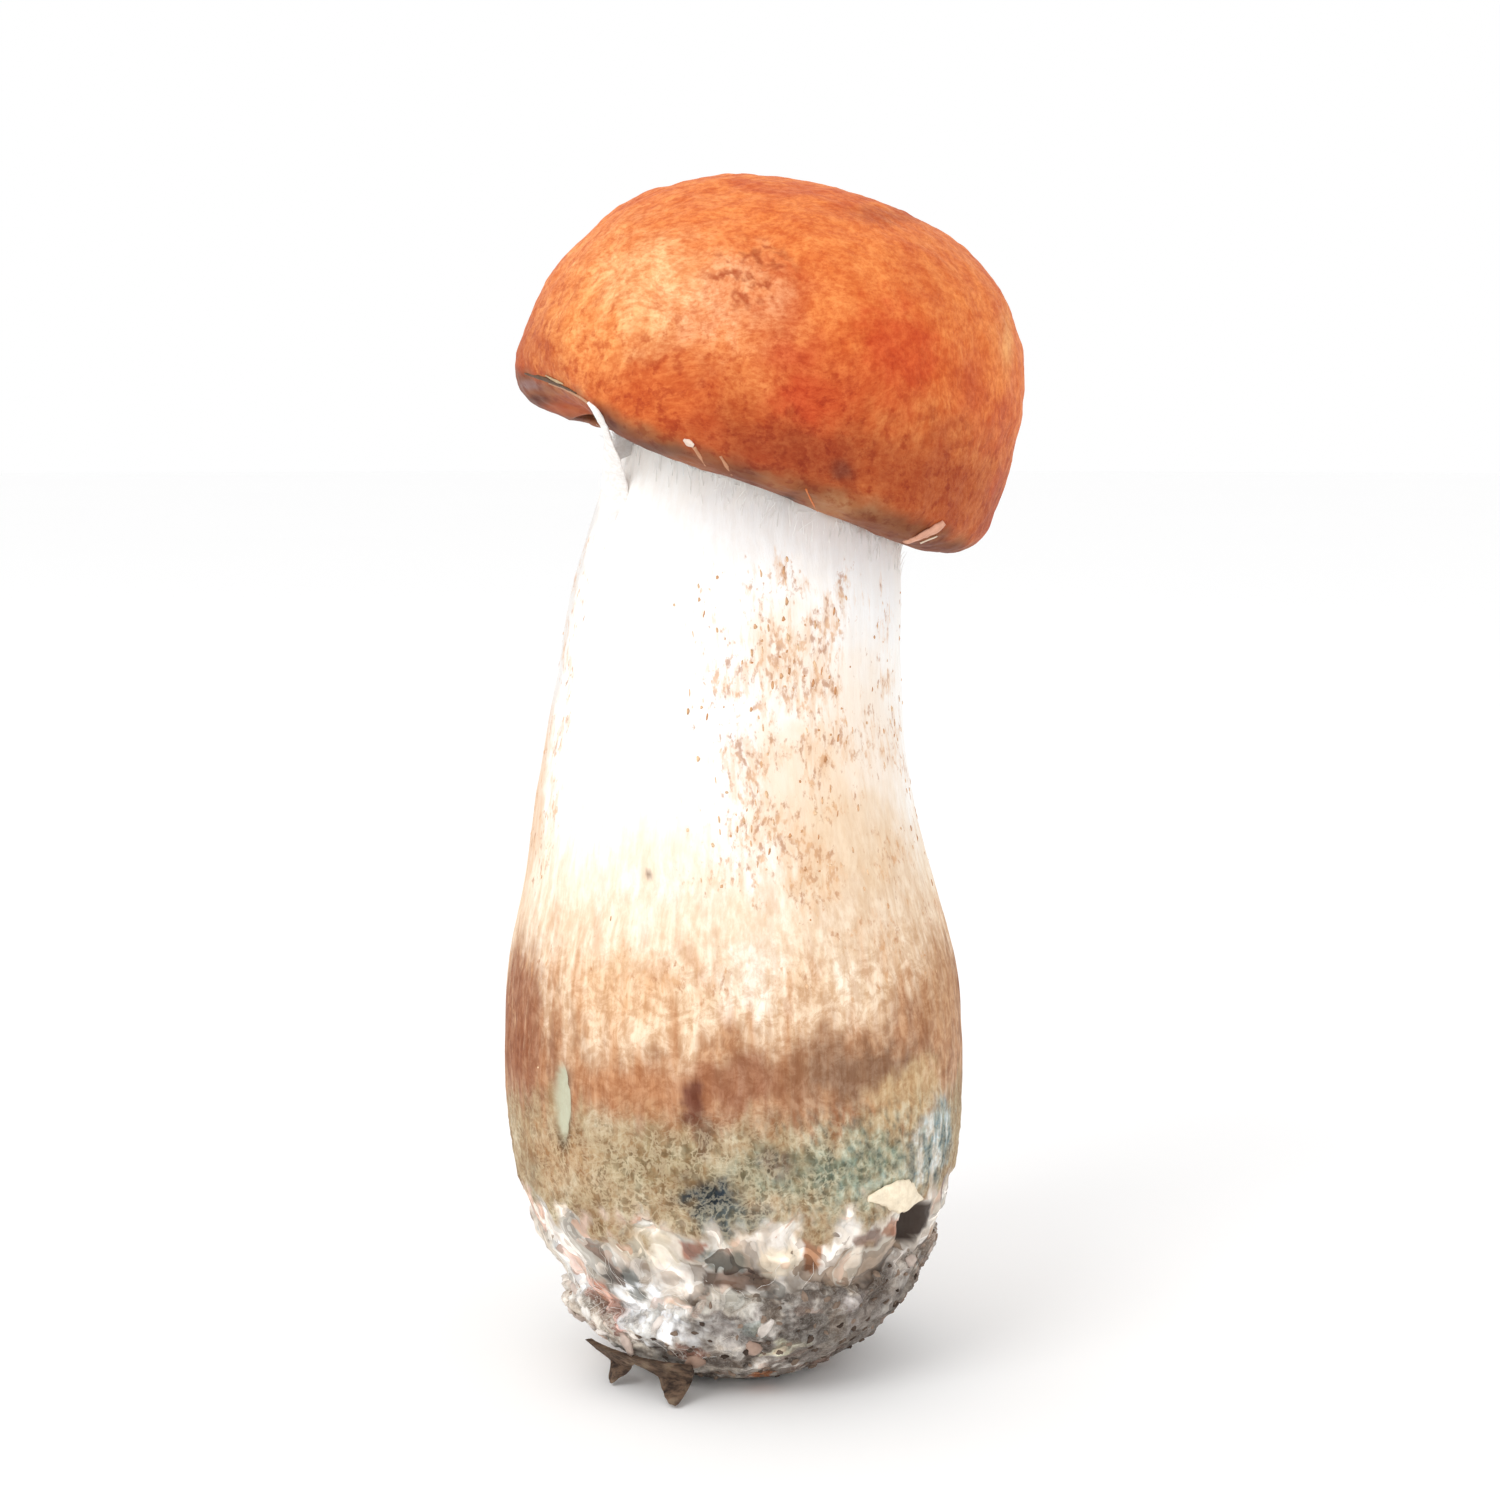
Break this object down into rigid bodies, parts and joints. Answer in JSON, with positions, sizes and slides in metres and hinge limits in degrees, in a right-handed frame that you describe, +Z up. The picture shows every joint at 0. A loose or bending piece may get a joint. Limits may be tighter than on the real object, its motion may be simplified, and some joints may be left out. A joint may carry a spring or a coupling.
{
  "type": "bolete mushroom",
  "caption": "Young orange-capped bolete standing on its broad soil-caked base, with a tilted domed cap and a swollen, scaber-flecked white stem.",
  "frame": {"origin": "middle of the flat spot that the soil-caked base rests on", "axes": "+Z up along the stem, +X towards the side that the cap leans to, -Y towards the side that the picture shows"},
  "size_m": [0.0568, 0.054, 0.129],
  "materials": {
    "cap_skin": "satin",
    "tubes": "matte",
    "stem_flesh": "matte",
    "earth": "matte",
    "bark": "matte"
  },
  "bodies": {
    "root": {"cap": "cap_skin", "tube_layer": "tubes", "stem": "stem_flesh", "soil": "earth", "bark_scrap": "bark"}
  },
  "joints": []
}
